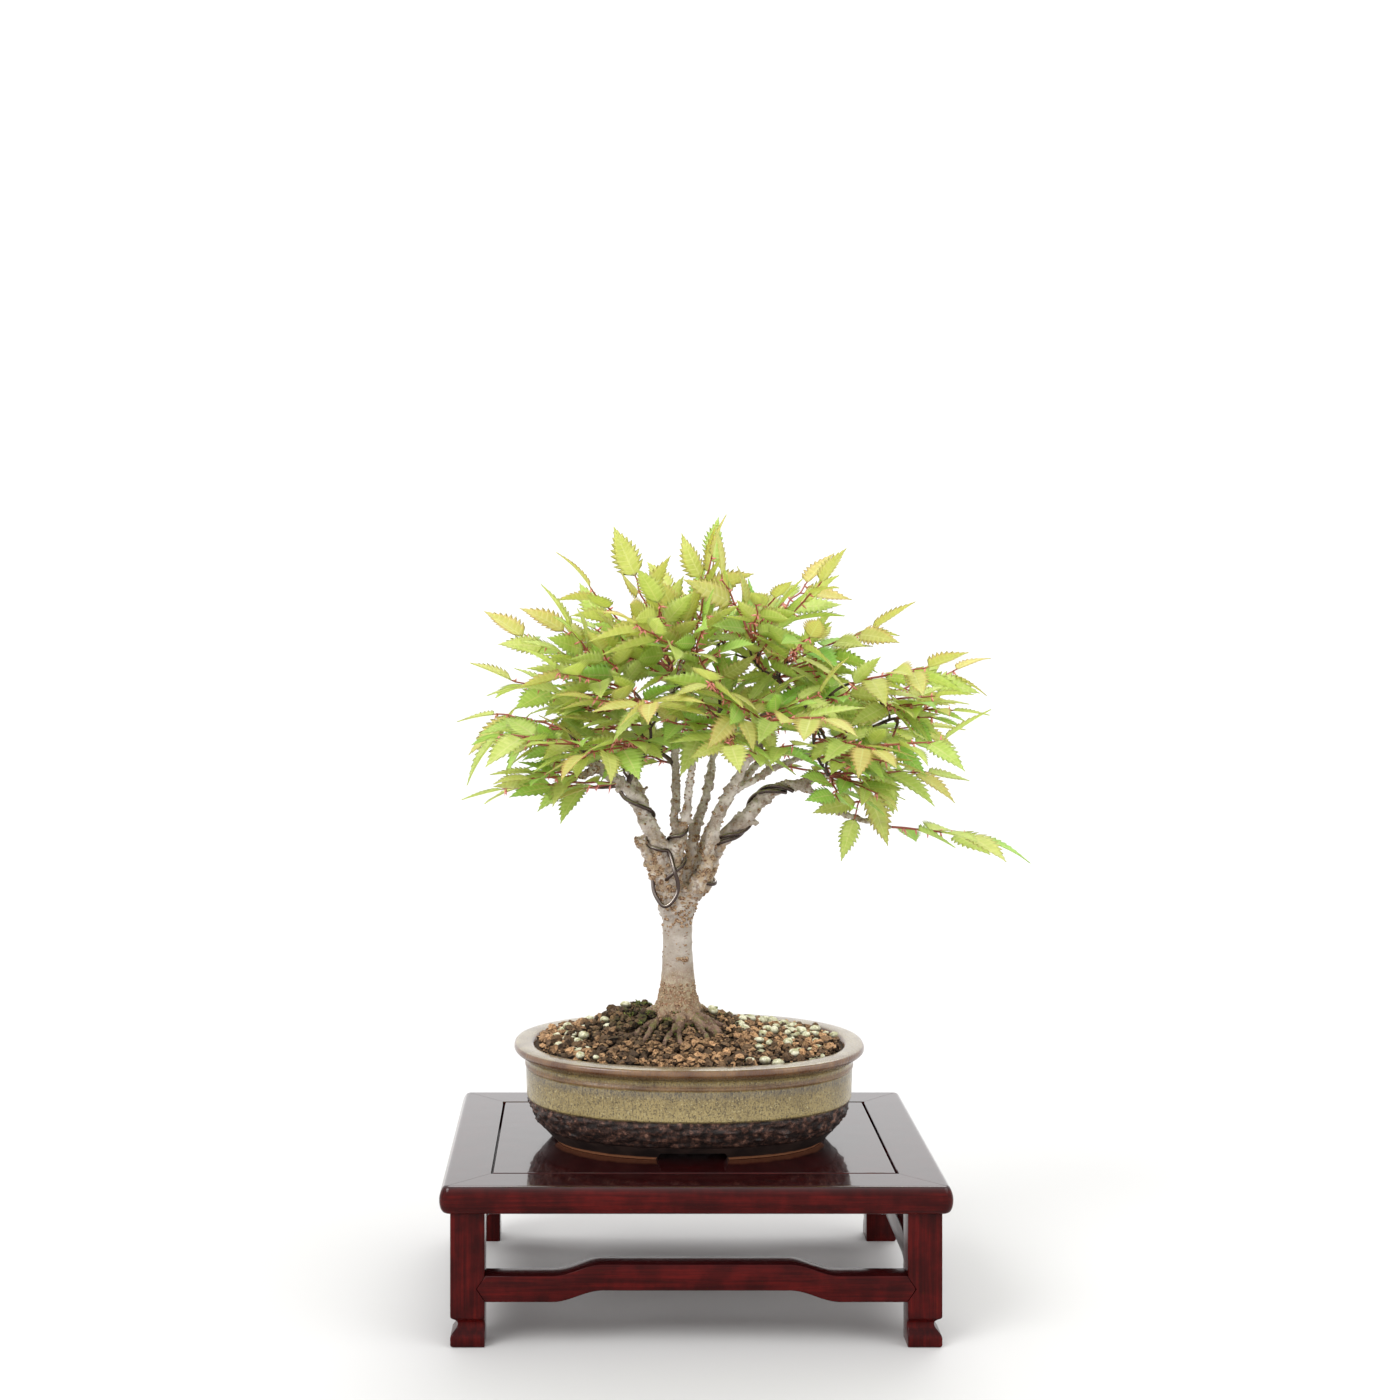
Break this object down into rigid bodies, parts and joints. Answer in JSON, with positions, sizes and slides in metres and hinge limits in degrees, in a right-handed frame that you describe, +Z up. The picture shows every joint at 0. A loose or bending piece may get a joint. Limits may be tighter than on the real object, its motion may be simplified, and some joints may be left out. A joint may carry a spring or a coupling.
{
  "type": "bonsai tree",
  "caption": "Japanese zelkova bonsai in broom form with toothed leaves, rooted in an oval glazed pot of grainy soil on a low lacquered stand.",
  "frame": {"origin": "the middle of the whole object's footprint, on the surface that the stand's feet rest on", "axes": "+Z up the trunk, -Y towards the front of the tree, +X along the pot's and the stand's length towards the lowest branch"},
  "size_m": [0.2826, 0.1854, 0.3767],
  "materials": {
    "stand_lacquer": "dark red-brown lacquer, polished to a mirror gloss",
    "pot_glaze": "glossy olive and khaki glaze, brown at the lip, bare clay at the foot",
    "screen_plastic": "black moulded mesh",
    "soil_grains": "loose porous clay grains",
    "bark": "smooth grey-beige bark with tan lenticels",
    "training_wire": "dark brown anodised",
    "leaf": "thin soft leaves, yellow-green with bronze tints"
  },
  "bodies": {
    "root": {"stand_frame_front": "stand_lacquer", "stand_frame_back": "stand_lacquer", "stand_frame_left": "stand_lacquer", "stand_frame_right": "stand_lacquer", "stand_panel": "stand_lacquer", "stand_stretcher_front": "stand_lacquer", "stand_stretcher_back": "stand_lacquer", "stand_stretcher_left": "stand_lacquer", "stand_stretcher_right": "stand_lacquer", "stand_leg_back_right": "stand_lacquer", "stand_leg_back_left": "stand_lacquer", "stand_leg_front_right": "stand_lacquer", "stand_leg_front_left": "stand_lacquer", "pot": "pot_glaze", "drain_screen_left": "screen_plastic", "drain_screen_right": "screen_plastic", "zelkova_wood": "bark", "soil": "soil_grains", "training_wire_left": "training_wire", "training_wire_centre": "training_wire", "training_wire_right": "training_wire", "spray_01": "leaf", "spray_02": "leaf", "spray_03": "leaf", "spray_04": "leaf", "spray_05": "leaf", "spray_06": "leaf", "spray_07": "leaf", "spray_08": "leaf", "spray_09": "leaf", "spray_10": "leaf", "spray_11": "leaf", "spray_12": "leaf", "spray_13": "leaf", "spray_14": "leaf", "spray_15": "leaf", "spray_16": "leaf", "spray_17": "leaf", "spray_18": "leaf", "spray_19": "leaf", "spray_20": "leaf", "spray_21": "leaf", "spray_22": "leaf", "spray_23": "leaf", "spray_24": "leaf", "spray_25": "leaf", "spray_26": "leaf", "spray_27": "leaf", "spray_28": "leaf", "spray_29": "leaf", "spray_30": "leaf", "spray_31": "leaf", "spray_32": "leaf", "spray_33": "leaf", "spray_34": "leaf", "spray_35": "leaf", "spray_36": "leaf", "spray_37": "leaf", "spray_38": "leaf", "spray_39": "leaf"}
  },
  "joints": []
}
